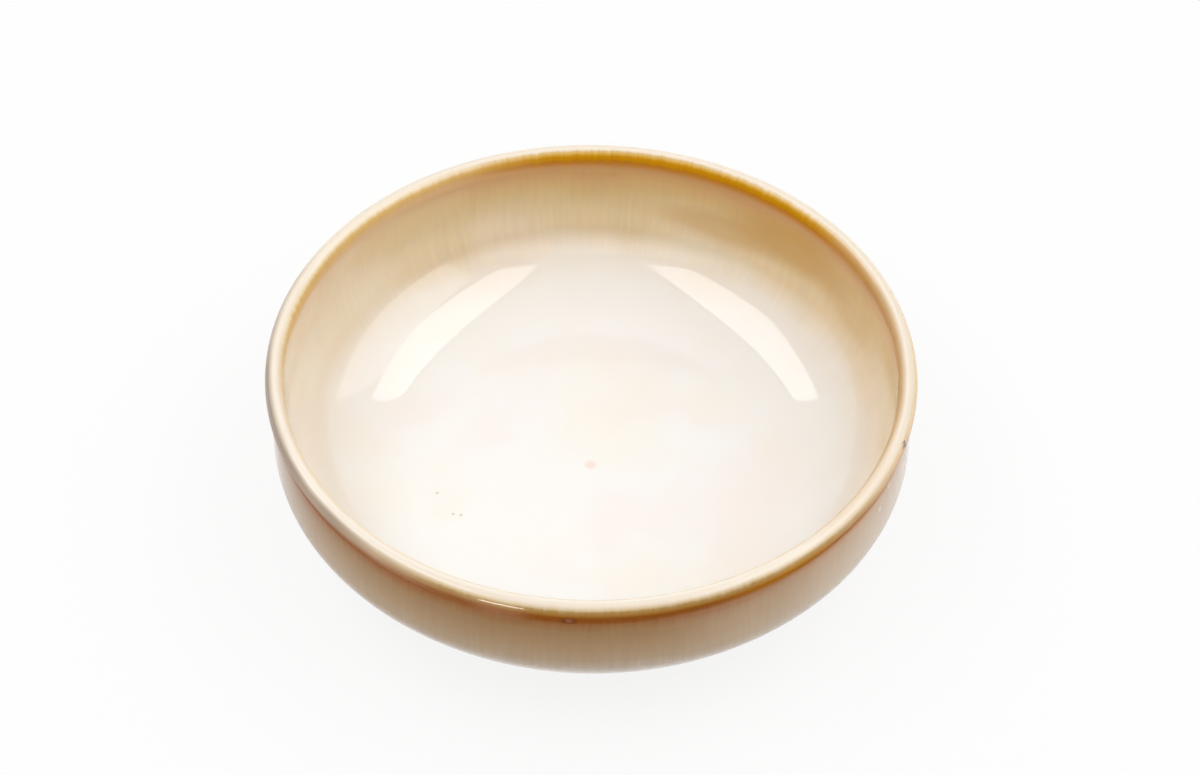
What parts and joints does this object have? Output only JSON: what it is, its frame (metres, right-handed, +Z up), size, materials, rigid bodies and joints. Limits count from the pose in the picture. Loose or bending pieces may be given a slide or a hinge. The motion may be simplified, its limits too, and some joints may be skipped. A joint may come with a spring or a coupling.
{
  "type": "ceramic plate",
  "caption": "Round deep plate in glazed stoneware: flat well, rounded sides, upright wall, rolled amber lip and a bare foot ring; holds and serves food on a table.",
  "frame": {"origin": "on the table, under the centre of the plate", "axes": "+Z up along the plate's axis of revolution, -Y towards the viewer of the picture, +X to the right"},
  "size_m": [0.2, 0.2, 0.056],
  "materials": {
    "stoneware": "bare fired stoneware, matt and finely grained",
    "well_glaze": "glossy cream glaze over the clay, browner up the wall",
    "rim_glaze": "glossy amber glaze that breaks to cream on the top of the lip",
    "wall_glaze": "glossy tan glaze with faint vertical streaks",
    "base_glaze": "glossy thin tan glaze"
  },
  "bodies": {
    "root": {"stoneware_body": "stoneware", "well_glaze": "well_glaze", "rim_glaze": "rim_glaze", "wall_glaze": "wall_glaze", "base_glaze": "base_glaze"}
  },
  "joints": []
}
